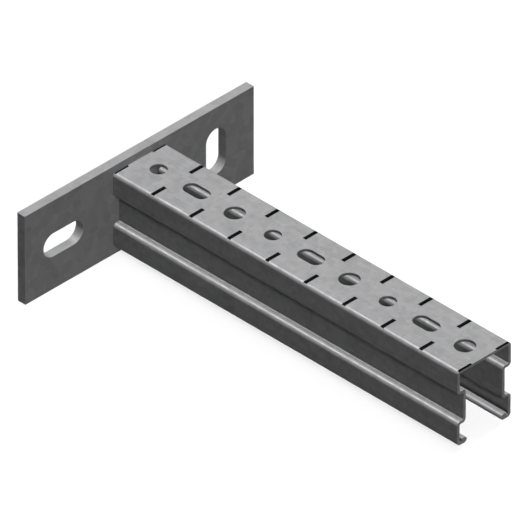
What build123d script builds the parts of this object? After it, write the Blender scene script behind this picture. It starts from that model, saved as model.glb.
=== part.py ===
from build123d import *
import os
from math import radians, tan

# Cantilever strut arm: a flat steel wall plate with one length of roll-formed strut channel
# welded square to it. The channel's web is on top and its open side faces down.
#
# Frame: the origin is the middle of the plate's back face, the face that lies on the wall.
# +X runs out of the wall along the arm, +Y along the plate, +Z up. All sizes are millimetres.

# Wall plate, a cut length of flat bar
plate_length = 150.0
plate_height = 50.0
plate_thickness = 5.0
wall_slot_spacing = 100.0
wall_slot_length = 26.0
wall_slot_width = 13.0

# Strut channel, outside sizes of the folded strip
arm_length = 225.0
channel_width = 35.0
channel_height = 42.0
sheet_thickness = 1.5
inside_bend_radius = 0.5
recess_depth = 4.0
recess_height = 15.5
lip_width = 6.25

# Closed hem of the lips: the gap left between its two layers, and the pocket left
# between its cut edge and the inner face of the side wall
hem_gap = 0.1
hem_pocket = 1.25

# Punching of the web, one hole or slot in the middle of each pitch
pitch = 25.0
small_hole_diameter = 8.5
large_hole_diameter = 10.5
web_slot_width = 8.5
web_slot_length = 15.0

# Stamped marks across both edges of the web, one at each pitch
mark_width = 1.4
mark_depth = 0.3
marks_apart = 17.0

# Fillet weld beads inside the channel
weld_leg = 2.5
weld_crown = 0.3
web_weld_margin = 4.0
wall_weld_margin = 0.75
wall_weld_top = 2.5

# How far a cutting tool runs past the faces that it cuts
cutter_overrun = 1.0

# Sizes worked out from the ones above
half_width = channel_width / 2
half_height = channel_height / 2
half_recess = recess_height / 2
middle = sheet_thickness / 2
web_inner_z = half_height - sheet_thickness
recess_inner_y = half_width - recess_depth - sheet_thickness
arm_start = plate_thickness
punch_count = int(arm_length // pitch)


def folded_strip(corners, radii, thickness):
    """Section of a folded strip. Its middle line turns at each corner with the radius given there."""
    points = [Vector(y, z) for y, z in corners]
    headings = [(end - start).normalized() for start, end in zip(points, points[1:])]
    up = Vector(0, 0, 1)
    skins = [(thickness / 2, []), (-thickness / 2, [])]
    start = points[0]
    for index, heading in enumerate(headings):
        side = heading.rotate(Axis.Z, 90)
        bends = index < len(radii)
        turn = heading.get_signed_angle(headings[index + 1], up) if bends else 0.0
        setback = radii[index] * tan(radians(abs(turn) / 2)) if bends else 0.0
        stop = points[index + 1] - heading * setback
        centre = stop + side * (radii[index] if turn > 0 else -radii[index]) if bends else stop
        for offset, edges in skins:
            if (stop - start).length > 1e-6:
                edges.append(Line(start + side * offset, stop + side * offset))
            if bends:
                spoke = stop + side * offset - centre
                arc = [centre + spoke.rotate(Axis.Z, turn * share) for share in (0, 0.5, 1)]
                edges.append(ThreePointArc(*arc))
        start = points[index + 1] + headings[index + 1] * setback if bends else stop
    (_, left), (_, right) = skins
    cut_edges = [Line(left[0] @ 0, right[0] @ 0), Line(left[-1] @ 1, right[-1] @ 1)]
    return make_face(left + right + cut_edges)


def channel_section():
    """Section of the strut channel in the YZ plane: web, stepped side walls, hemmed lips."""
    wall_y = half_width - middle
    recess_y = half_width - recess_depth - middle
    web_z = half_height - middle
    shelf_z = half_recess + middle
    nose_y = half_width - lip_width + middle
    hem_z = -web_z + sheet_thickness + hem_gap
    hem_edge_y = half_width - sheet_thickness - hem_pocket
    right_corners = [
        (wall_y, web_z),
        (wall_y, shelf_z),
        (recess_y, shelf_z),
        (recess_y, -shelf_z),
        (wall_y, -shelf_z),
        (wall_y, -web_z),
        (nose_y, -web_z),
        (nose_y, hem_z),
        (hem_edge_y, hem_z),
    ]
    bend = inside_bend_radius + middle
    fold = (sheet_thickness + hem_gap) / 2
    right_radii = [bend] * 6 + [fold] * 2
    left_corners = [(-y, z) for y, z in reversed(right_corners)]
    return folded_strip(
        left_corners + right_corners, right_radii[::-1] + right_radii, sheet_thickness
    )


def web_punches():
    """Cutters for the web: small hole, slot, large hole, over and over along the arm."""
    outlines = [
        Circle(small_hole_diameter / 2),
        SlotOverall(web_slot_length, web_slot_width),
        Circle(large_hole_diameter / 2),
    ]
    depth = sheet_thickness + 2 * cutter_overrun
    cutters = []
    for index in range(punch_count):
        x = arm_start + pitch * (index + 0.5)
        outline = Pos(x, 0, web_inner_z - cutter_overrun) * outlines[index % len(outlines)]
        cutters.append(extrude(outline, amount=depth))
    return cutters


def stamped_marks():
    """Cutters for the marks: shallow grooves that run out through both top bends."""
    reach = half_width + cutter_overrun - marks_apart / 2
    cutters = []
    for index in range(punch_count + 1):
        for side in (1, -1):
            y = side * (marks_apart / 2 + reach / 2)
            place = Pos(arm_start + pitch * index, y, half_height - mark_depth)
            block = Box(
                mark_width,
                reach,
                mark_depth + cutter_overrun,
                align=(Align.CENTER, Align.CENTER, Align.MIN),
            )
            cutters.append(place * block)
    return cutters


def make_wall_plate():
    """Flat bar with a lying slot on the left and a standing slot on the right."""
    slot = SlotOverall(wall_slot_length, wall_slot_width)
    outline = Rectangle(plate_length, plate_height)
    outline -= Pos(-wall_slot_spacing / 2, 0) * slot
    outline -= Pos(wall_slot_spacing / 2, 0) * Rot(0, 0, 90) * slot
    return extrude(Plane.YZ * outline, amount=plate_thickness)


def make_strut_channel():
    """Folded strip with its web punched and stamped."""
    strip = extrude(Plane.YZ.offset(arm_start) * channel_section(), amount=arm_length)
    return strip - web_punches() - stamped_marks()


def weld_bead(root, inward, length):
    """Crowned fillet bead in the corner between the plate's front face and a channel face.

    root is where the bead starts on that corner and inward points away from the channel face.
    """
    toe_on_channel, toe_on_plate = (weld_leg, 0), (0, weld_leg)
    crown = weld_leg / 2 + weld_crown
    edges = [
        Line((0, 0), toe_on_channel),
        ThreePointArc(toe_on_channel, (crown, crown), toe_on_plate),
        Line(toe_on_plate, (0, 0)),
    ]
    outward = Vector(1, 0, 0)
    along = outward.cross(inward)
    first = Plane(origin=root, x_dir=outward, z_dir=along) * make_face(edges)
    last = Pos(*(along * length)) * first
    bead = extrude(first, amount=length)
    bead += revolve(first, Axis(root, inward), 90)
    bead += revolve(last, Axis(root + along * length, inward), -90)
    return bead


def make_web_weld():
    """Bead under the web, stopping short of both side walls."""
    half_length = half_width - sheet_thickness - web_weld_margin - weld_leg
    root = Vector(arm_start, -half_length, web_inner_z)
    return weld_bead(root, Vector(0, 0, -1), 2 * half_length)


def make_wall_weld(side):
    """Bead on the inner face of one recessed side wall, from its lower bend to past its middle."""
    bottom = -half_recess + inside_bend_radius + wall_weld_margin + weld_leg
    top = wall_weld_top - weld_leg
    start_z = top if side > 0 else bottom
    root = Vector(arm_start, side * recess_inner_y, start_z)
    return weld_bead(root, Vector(0, -side, 0), top - bottom)


nodes = {
    "wall_plate": make_wall_plate(),
    "strut_channel": make_strut_channel(),
    "web_weld": make_web_weld(),
    "left_wall_weld": make_wall_weld(-1),
    "right_wall_weld": make_wall_weld(1),
}

os.makedirs("parts", exist_ok=True)
for name, shape in nodes.items():
    export_step(shape, f"parts/{name}.step")
    box = shape.bounding_box()
    print(name, len(shape.solids()), "solid,", round(shape.volume, 1), "mm3,", box.min, box.max)
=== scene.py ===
from math import cos, pi, radians, sin, sqrt

import bpy
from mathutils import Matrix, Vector


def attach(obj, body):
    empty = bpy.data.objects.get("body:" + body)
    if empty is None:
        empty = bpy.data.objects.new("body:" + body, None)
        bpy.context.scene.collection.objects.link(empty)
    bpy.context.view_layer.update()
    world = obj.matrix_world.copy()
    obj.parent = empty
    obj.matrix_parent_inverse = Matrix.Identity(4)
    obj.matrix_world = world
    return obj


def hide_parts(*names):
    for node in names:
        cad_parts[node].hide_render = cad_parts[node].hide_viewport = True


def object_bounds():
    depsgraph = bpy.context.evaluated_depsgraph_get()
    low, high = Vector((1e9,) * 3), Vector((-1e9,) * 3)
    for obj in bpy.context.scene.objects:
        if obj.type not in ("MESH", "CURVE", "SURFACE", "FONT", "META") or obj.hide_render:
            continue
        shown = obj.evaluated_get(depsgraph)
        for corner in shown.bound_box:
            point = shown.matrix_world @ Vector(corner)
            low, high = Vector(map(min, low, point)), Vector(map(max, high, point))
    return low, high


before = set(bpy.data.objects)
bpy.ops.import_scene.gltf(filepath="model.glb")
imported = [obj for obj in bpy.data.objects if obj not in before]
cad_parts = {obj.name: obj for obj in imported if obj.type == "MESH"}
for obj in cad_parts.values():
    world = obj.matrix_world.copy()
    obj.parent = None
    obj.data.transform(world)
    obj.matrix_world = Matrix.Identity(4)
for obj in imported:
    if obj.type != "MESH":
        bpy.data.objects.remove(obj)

# Cantilever strut arm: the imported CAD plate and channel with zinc-coated steel materials, and
# rippled weld beads in place of the plain CAD ones. Lengths are metres unless named in mm.

cad_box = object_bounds()

MM = 0.001

# Sizes repeated from the CAD source, in mm
plate_front = 5.0
plate_half_height = 25.0
arm_end = 230.0
pitch = 25.0
web_top = 21.0
sheet_thickness = 1.5
recess_inner_y = 12.0
mark_width = 1.4
mark_depth = 0.3
marks_apart = 17.0
weld_leg = 2.5
web_weld_half_length = 9.5
wall_weld_half_length = 2.0
wall_weld_middle_z = -2.0

# Sizes of the patterns in the zinc coat, the steel and the cut faces, in mm
cloud_size = 14.0
crystal_border_size = 1.2
crystal_border_shift = 1.6
grain_size = 0.42
roll_line_size = 0.75
streak_size = 0.35

# Heights of the patterns that stand out, in mm
cloud_height = 0.030
grain_height = 0.010
crystal_height = 0.003
roll_line_height = 0.014

# How far wear reaches over an outer edge, and painted shade out of a corner or under an overhang, in mm
wear_reach = 0.35
corner_reach = 1.5
overhang_reach = 3.5

# The web's punched walls lie this near to its middle, in mm
punched_half_width = 8.4

# The black of a mark fades out between these distances from its groove, in mm
rim_full, rim_gone = 0.34, 0.52

# Slack in mm where a face is told by its place: the cut end, the plate's edges, the marks' floors
end_slack, edge_slack, floor_slack = 0.01, 0.05, 0.04


# Node trees


class Tree:
    """Short calls that add nodes to one material or world."""

    def __init__(self, owner):
        owner.use_nodes = True
        self.nodes = owner.node_tree.nodes
        self.links = owner.node_tree.links
        self.nodes.clear()

    def add(self, kind, inputs=(), **settings):
        """A node with its settings, and its inputs as numbers or as sockets to link."""
        node = self.nodes.new(kind)
        for name, value in settings.items():
            setattr(node, name, value)
        for name, value in dict(inputs).items():
            if isinstance(value, bpy.types.NodeSocket):
                self.links.new(value, node.inputs[name])
            else:
                node.inputs[name].default_value = value
        return node

    def math(self, operation, first, second=0.0, third=0.0):
        inputs = {0: first, 1: second, 2: third}
        return self.add("ShaderNodeMath", inputs, operation=operation).outputs[0]

    def vector_math(self, operation, first, second, third=(0.0, 0.0, 0.0)):
        inputs = {0: first, 1: second, 2: third}
        return self.add("ShaderNodeVectorMath", inputs, operation=operation).outputs[0]

    def split(self, vector):
        """The x, y and z of a vector."""
        return self.add("ShaderNodeSeparateXYZ", {0: vector}).outputs

    def noise(self, place, size_mm, detail=3.0, roughness=0.5, output="Fac"):
        """A noise texture whose largest lumps are about size_mm apart."""
        inputs = {"Vector": place, "Scale": 1 / (size_mm * MM), "Detail": detail, "Roughness": roughness}
        return self.add("ShaderNodeTexNoise", inputs).outputs[output]

    def drawn_out(self, place, axis, share=0.012):
        """place squeezed to a share along one axis, so that a noise there turns into lines along it."""
        stretch = [share if i == axis else 1.0 for i in range(3)]
        return self.vector_math("MULTIPLY", place, stretch)

    def openness(self, reach_mm, samples, **settings):
        """1 where nothing stands within reach_mm of a face, and less the more shuts it in."""
        inputs = {"Distance": reach_mm * MM}
        return self.add("ShaderNodeAmbientOcclusion", inputs, samples=samples, **settings).outputs["AO"]

    def remap(self, value, low, high, to_low, to_high):
        """Goes softly from to_low to to_high as value goes from low to high."""
        inputs = {0: value, 1: low, 2: high, 3: to_low, 4: to_high}
        return self.add("ShaderNodeMapRange", inputs, interpolation_type="SMOOTHSTEP").outputs[0]

    def blend(self, share, first, second):
        """Goes from first to second, both numbers or number sockets, as share goes from 0 to 1."""
        inputs = {0: share, 2: first, 3: second}
        return self.add("ShaderNodeMix", inputs, data_type="FLOAT").outputs[0]

    def vary(self, value, texture, amount):
        """value, lowered by half of amount where texture is 0 and raised by it where it is 1."""
        return self.math("MULTIPLY_ADD", texture, amount, self.math("SUBTRACT", value, amount / 2))


# Materials

# Barely metallic, because a metal would mirror the white backdrop and lighten the dark sides
METALLIC = 0.05

# How many times its red and green the zinc's blue is
COOLNESS = 1.015

# The axes along which lines in the steel run
ALONG_ARM, ALONG_PLATE, UPRIGHT = 0, 1, 2


def coat(tree, place, spangle_mm):
    """Slow clouds, three random values for each crystal of the spangle, and fine grain."""
    clouds = tree.noise(place, cloud_size, detail=5.0, roughness=0.62)
    ragged = tree.noise(place, crystal_border_size, output="Color")
    shifted = tree.vector_math("MULTIPLY_ADD", ragged, (crystal_border_shift * MM,) * 3, place)
    crystals = tree.add("ShaderNodeTexVoronoi", {"Vector": shifted, "Scale": 1 / (spangle_mm * MM)})
    random = tree.add("ShaderNodeSeparateColor", {0: crystals.outputs["Color"]}).outputs
    return clouds, random, tree.noise(place, grain_size, detail=4.0, roughness=0.6)


def worn_edges(tree, rounded, open_near, fine):
    """1 where an outer edge is rubbed most, 0 away from edges. Fine grain breaks it up."""
    normals = {0: tree.add("ShaderNodeNewGeometry").outputs["Normal"], 1: rounded}
    facing = tree.add("ShaderNodeVectorMath", normals, operation="DOT_PRODUCT").outputs["Value"]
    outer = tree.remap(open_near, 0.6, 0.95, 0.0, 1.0)
    edge = tree.math("MULTIPLY", tree.remap(facing, 0.97, 0.82, 0.0, 1.0), outer)
    return tree.math("MULTIPLY", edge, tree.remap(fine, 0.35, 0.6, 0.4, 1.0))


def zinc(name, tone, spangle_mm, grain=1.0, rolled=(ALONG_ARM, 0.0), cuts=None, marks=None):
    """Dull zinc-coated steel with spangle, roll lines, worn edges and painted shade in hollows.

    tone is its grey, spangle_mm the size of its crystals and grain how rough it is. rolled is the
    axis along which its roll lines run and how strong they are. cuts and marks are functions that
    say where its faces are cut and where marks are stamped in it.
    """
    material = bpy.data.materials.new(name)
    tree = Tree(material)
    where = tree.add("ShaderNodeTexCoord").outputs
    place = where["Object"]
    clouds, random, fine = coat(tree, place, spangle_mm)

    # Lines that the rolls left in the steel below the coat
    rolled_along, lines = rolled
    roll_lines = tree.noise(tree.drawn_out(place, rolled_along), roll_line_size, roughness=0.65)

    # How much lighter or darker than its tone each spot is
    shade = tree.vary(1.0, clouds, 0.30)
    shade = tree.vary(shade, random[0], 0.16)
    shade = tree.vary(shade, fine, 0.16)
    shade = tree.vary(shade, roll_lines, 0.26 * lines)

    # Outer edges are worn brighter. Inner corners get painted shade, and faces under an overhang get a
    # deeper painted shadow
    rounded = tree.add("ShaderNodeBevel", {"Radius": wear_reach * MM}, samples=6).outputs[0]
    open_near = tree.openness(corner_reach, samples=6)
    open_wide = tree.openness(overhang_reach, samples=8, only_local=True)
    worn = worn_edges(tree, rounded, open_near, fine)
    shade = tree.math("MULTIPLY", shade, tree.remap(open_near, 0.1, 0.7, 0.72, 1.0))
    shade = tree.math("MULTIPLY", shade, tree.remap(open_wide, 0.45, 0.85, 0.45, 1.0))
    shade = tree.math("MULTIPLY_ADD", worn, 0.45, shade)

    roughness = tree.vary(0.46, clouds, 0.22)
    roughness = tree.vary(roughness, random[1], 0.12)
    roughness = tree.math("MULTIPLY_ADD", worn, -0.12, roughness)

    metallic = METALLIC
    if cuts:
        cut, cut_shade = cuts(tree, place, where["Normal"])
        shade = tree.math("MULTIPLY", shade, tree.blend(cut, 1.0, cut_shade))
        roughness = tree.math("MULTIPLY_ADD", cut, 0.15, roughness)
    if marks:
        dark = marks(tree, place)
        shade = tree.blend(dark, shade, 0.02)
        roughness = tree.blend(dark, roughness, 1.0)
        metallic = tree.blend(dark, METALLIC, 1.0)

    grey = {0: (tone, tone, tone * COOLNESS), "Scale": shade}
    color = tree.add("ShaderNodeVectorMath", grey, operation="SCALE").outputs[0]

    height = tree.math("MULTIPLY", clouds, cloud_height)
    height = tree.math("MULTIPLY_ADD", fine, grain_height * grain, height)
    height = tree.math("MULTIPLY_ADD", random[2], crystal_height, height)
    height = tree.math("MULTIPLY_ADD", roll_lines, roll_line_height * lines, height)
    bump = tree.add("ShaderNodeBump", {"Height": height, "Distance": MM, "Normal": rounded})
    inputs = {
        "Base Color": color,
        "Metallic": metallic,
        "Roughness": roughness,
        "Specular IOR Level": 0.0,
        "Specular Tint": (0.25, 0.25, 0.25, 1.0),
        "Normal": bump.outputs[0],
    }
    shader = tree.add("ShaderNodeBsdfPrincipled", inputs)
    tree.add("ShaderNodeOutputMaterial", {"Surface": shader.outputs[0]})
    return material


def cut_streaks(tree, place, along):
    """The fine lines that a tool leaves in a face it cuts."""
    return tree.noise(tree.drawn_out(place, along, share=0.12), streak_size)


def sheared(tree, streaks, depth, smooth, broken):
    """How light a sheared wall is: smooth where the punch came in, darker where the steel broke.

    depth goes from 0 at the face that was struck to 1 at the other one. smooth and broken are how
    light the wall is in the first third or so and past it.
    """
    ragged_depth = tree.vary(depth, streaks, 0.30)
    return tree.vary(tree.remap(ragged_depth, 0.28, 0.45, smooth, broken), streaks, 0.22)


def channel_cuts(tree, place, normal):
    """1 on the web's punched walls and on the cut end, 0 elsewhere, and how light they are."""
    x, y, z = tree.split(place)
    end = tree.math("GREATER_THAN", x, (arm_end - end_slack) * MM)
    upright = tree.math("LESS_THAN", tree.math("ABSOLUTE", tree.split(normal)[2]), 0.5)
    near_middle = tree.math("LESS_THAN", tree.math("ABSOLUTE", y), punched_half_width * MM)
    cut = tree.math("MAXIMUM", end, tree.math("MULTIPLY", upright, near_middle))
    depth = tree.math("MULTIPLY_ADD", z, -1 / (sheet_thickness * MM), web_top / sheet_thickness)
    streaks = cut_streaks(tree, place, UPRIGHT)
    punched = sheared(tree, streaks, depth, smooth=0.98, broken=0.68)
    return cut, tree.blend(end, punched, tree.vary(1.12, streaks, 0.30))


def plate_cuts(tree, place, normal):
    """1 on the plate's slot walls and cut ends, 0 elsewhere, and how light they are, painted lighter
    against the slots' shade.
    """
    x, _, z = tree.split(place)
    across = tree.math("LESS_THAN", tree.math("ABSOLUTE", tree.split(normal)[0]), 0.5)
    inside = tree.math("LESS_THAN", tree.math("ABSOLUTE", z), (plate_half_height - edge_slack) * MM)
    depth = tree.math("MULTIPLY_ADD", x, -1 / (plate_front * MM), 1.0)
    cut = tree.math("MULTIPLY", across, inside)
    # Both shares above 1 are painted light, lifting the slot floors that lie in the slots' own shade
    return cut, sheared(tree, cut_streaks(tree, place, ALONG_ARM), depth, smooth=1.10, broken=1.06)


def stamped_marks(tree, place):
    """1 in the stamped marks of the web and on their black rims, 0 elsewhere."""
    x, y, z = tree.split(place)
    steps = tree.math("MULTIPLY_ADD", x, 1 / (pitch * MM), 0.5 - plate_front / pitch)
    off_step = tree.math("ABSOLUTE", tree.math("SUBTRACT", tree.math("FRACT", steps), 0.5))
    past_side = tree.math("MULTIPLY_ADD", off_step, pitch, -mark_width / 2)
    past_end = tree.math("MULTIPLY_ADD", tree.math("ABSOLUTE", y), -1 / MM, marks_apart / 2)
    beyond = tree.math("MAXIMUM", past_side, past_end)
    painted = tree.remap(beyond, rim_full, rim_gone, 1.0, 0.0)
    floor_mm = web_top - mark_depth - floor_slack
    return tree.math("MULTIPLY", painted, tree.math("GREATER_THAN", z, floor_mm * MM))


plate_zinc = zinc(
    "plate_zinc", tone=0.275, spangle_mm=4.5, rolled=(ALONG_PLATE, 0.35), cuts=plate_cuts
)
channel_zinc = zinc(
    "channel_zinc",
    tone=0.27,
    spangle_mm=2.6,
    rolled=(ALONG_ARM, 1.0),
    cuts=channel_cuts,
    marks=stamped_marks,
)
weld_zinc = zinc("weld_zinc", tone=0.25, spangle_mm=1.2, grain=2.0)

for node, material in {"wall_plate": plate_zinc, "strut_channel": channel_zinc}.items():
    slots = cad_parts[node].data.materials
    slots.clear()
    slots.append(material)


# Weld beads

# How finely a bead is divided along its run and over its face
rings, points_on_arc = 120, 15

# How far apart its ripples are and how far they bow along the run from toe to middle, in mm
ripple_pitch, ripple_bow = 1.3, 0.8

# How high a ripple stands, as a share of the leg, and how much sooner than its pitch it is over,
# which leaves a plain groove before the next one
ripple_height, ripple_haste = 0.055, 1.15

# How far the middle of its face is from the corner and what is added towards the toes, both as
# shares of the leg, and how late that addition sets in
throat, toes, toe_power = 0.765, 0.235, 1.6


def face_distance(run, turn):
    """Distance of the bead's face from the corner, in mm.

    run is the place along the bead, in mm, and turn goes from 0 on the channel to pi / 2 on the plate.
    """
    bow = ripple_bow * (1 - sin(2 * turn))
    wave = ((run + bow) / ripple_pitch) % 1.0
    rise = sin(pi * min(1.0, wave * ripple_haste))
    scale = weld_leg * (1 + ripple_height * rise * sin(2 * turn))
    return scale * (throat + toes * abs(cos(2 * turn)) ** toe_power)


def weld_bead(node, root, inward, half_length):
    """Rippled fillet bead in the corner between the plate's front and a channel face.

    root is the middle of its run along that corner, inward points away from the channel face,
    and half_length reaches to the middle of its round ends. All are in mm.
    """
    outward = Vector((1, 0, 0))
    inward = Vector(inward)
    along = outward.cross(inward)
    reach = half_length + weld_leg
    start, stop = Vector(root) - along * reach, Vector(root) + along * reach
    verts = [start * MM]
    for i in range(1, rings):
        run = -cos(pi * i / rings) * reach
        past = max(0.0, abs(run) - half_length) / weld_leg
        size = sqrt(max(0.0, 1 - past * past))
        ring = [Vector((0, 0, 0))]
        for j in range(points_on_arc):
            turn = pi / 2 * j / (points_on_arc - 1)
            direction = outward * cos(turn) + inward * sin(turn)
            ring.append(direction * face_distance(run, turn) * size)
        verts += [(Vector(root) + along * run + p) * MM for p in ring]
    verts.append(stop * MM)
    count, last = points_on_arc + 1, len(verts) - 1
    faces = []
    for j in range(count):
        here, beside = 1 + j, 1 + (j + 1) % count
        faces.append((0, beside, here))
        for i in range(rings - 2):
            a, b = here + i * count, beside + i * count
            faces.append((a, b, b + count, a + count))
        faces.append((last - count + j, last - count + (j + 1) % count, last))
    mesh = bpy.data.meshes.new(node + "_bead")
    mesh.from_pydata([tuple(v) for v in verts], [], faces)
    mesh.validate()
    mesh.shade_smooth()
    mesh.materials.append(weld_zinc)
    piece = bpy.data.objects.new(node + "_bead", mesh)
    bpy.context.scene.collection.objects.link(piece)
    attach(piece, "root")
    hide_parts(node)


web_root = (plate_front, 0, web_top - sheet_thickness)
weld_bead("web_weld", web_root, (0, 0, -1), web_weld_half_length)
for side, name in ((-1, "left_wall_weld"), (1, "right_wall_weld")):
    wall_root = (plate_front, side * recess_inner_y, wall_weld_middle_z)
    weld_bead(name, wall_root, (0, -side, 0), wall_weld_half_length)


# Camera at the drawing's isometric angle, far off with a long lens so that parallel lines stay so

camera_data = bpy.data.cameras.new("camera")
camera_data.lens = 1650
camera_data.sensor_width = 36
camera_data.clip_start, camera_data.clip_end = 0.1, 30
camera = bpy.data.objects.new("camera", camera_data)
bpy.context.scene.collection.objects.link(camera)
bpy.context.scene.camera = camera

# What it looks at and how wide the view is there, both fitted to the drawing
look_at = Vector((0.0854, 0.0, 0.0021))
view_width = 0.2430
toward_camera = Vector((1, -1, 1)).normalized()
distance = view_width / (camera_data.sensor_width / camera_data.lens)
camera.location = look_at + toward_camera * distance
camera.rotation_euler = (-toward_camera).to_track_quat("-Z", "Y").to_euler()


# Floor, world and lamps

# How far the floor reaches each way and how far below the part it lies
floor_reach, floor_drop = 60, 0.0002

# How light the floor and the world are to diffuse light, and to rays that see or mirror them
floor_dark, floor_pale = 0.04, 0.84
world_dark, world_pale = 0.02, 1.0


def seen_or_mirrored(tree):
    """1 for rays from the camera and for reflected or transmitted ones, 0 for diffuse light."""
    rays = tree.add("ShaderNodeLightPath").outputs
    seen = tree.math("MAXIMUM", rays["Is Camera Ray"], rays["Is Glossy Ray"])
    return tree.math("MAXIMUM", seen, rays["Is Transmission Ray"])


def matt(tree, level):
    """Plain matt grey."""
    return tree.add("ShaderNodeBsdfDiffuse", {"Color": (level, level, level, 1)}).outputs[0]


floor_mesh = bpy.data.meshes.new("floor")
signs = ((-1, -1), (1, -1), (1, 1), (-1, 1))
corners = [(x_sign * floor_reach, y_sign * floor_reach, 0) for x_sign, y_sign in signs]
floor_mesh.from_pydata(corners, [], [(0, 1, 2, 3)])
floor = bpy.data.objects.new("floor", floor_mesh)
bpy.context.scene.collection.objects.link(floor)
floor.location.z = cad_box[0].z - floor_drop

# The floor can't be seen from below, so that views from there show the part
floor_paint = bpy.data.materials.new("floor_paint")
floor_tree = Tree(floor_paint)
shades = {0: seen_or_mirrored(floor_tree), 1: matt(floor_tree, floor_dark), 2: matt(floor_tree, floor_pale)}
paint = floor_tree.add("ShaderNodeMixShader", shades).outputs[0]
clear = floor_tree.add("ShaderNodeBsdfTransparent").outputs[0]
from_below = floor_tree.add("ShaderNodeNewGeometry").outputs["Backfacing"]
one_sided = floor_tree.add("ShaderNodeMixShader", {0: from_below, 1: paint, 2: clear})
floor_tree.add("ShaderNodeOutputMaterial", {"Surface": one_sided.outputs[0]})
floor_mesh.materials.append(floor_paint)

world = bpy.data.worlds.new("studio")
bpy.context.scene.world = world
world_tree = Tree(world)
strength = world_tree.blend(seen_or_mirrored(world_tree), world_dark, world_pale)
background = world_tree.add("ShaderNodeBackground", {"Color": (1, 1, 1, 1), "Strength": strength})
world_tree.add("ShaderNodeOutputWorld", {"Surface": background.outputs[0]})


def sun(name, towards, strength, spread, seen_by="both", shadows=False):
    """A soft lamp that shines from the direction towards, spread over that many degrees.

    One seen by "diffuse" is a fill, which makes no glints. One seen by "glossy" makes only glints.
    """
    data = bpy.data.lights.new(name, "SUN")
    data.energy = strength
    data.angle = radians(spread)
    data.use_shadow = shadows
    lamp = bpy.data.objects.new(name, data)
    lamp.rotation_euler = Vector(towards).to_track_quat("Z", "Y").to_euler()
    lamp.visible_diffuse = seen_by != "glossy"
    lamp.visible_glossy = seen_by != "diffuse"
    bpy.context.scene.collection.objects.link(lamp)


# The first two light the top faces. The next two light the sides, and leave the shade under their
# overhangs. The rim draws the glints along the bends. The fills lift faces that look down, out and
# to the wall
above = (0, 0, 1)
sun("key", above, 0.52, 44, shadows=True)
sun("top_fill", above, 2.60, 4, seen_by="diffuse")
sun("front_high", (1.0, -0.55, 0.84), 0.81, 6, seen_by="diffuse", shadows=True)
sun("back_high", (0.0, 0.55, 0.84), 0.57, 6, seen_by="diffuse", shadows=True)
sun("rim", (-0.58, -0.08, 0.80), 15.0, 24, seen_by="glossy")
sun("under_fill", (0, 0, -1), 0.8, 20, seen_by="diffuse")
sun("end_fill", (1, 0, 0.2), 0.25, 10, seen_by="diffuse")
sun("wall_fill", (-1, 0, 0.2), 0.50, 10, seen_by="diffuse")

bpy.context.scene.view_settings.view_transform = "Standard"
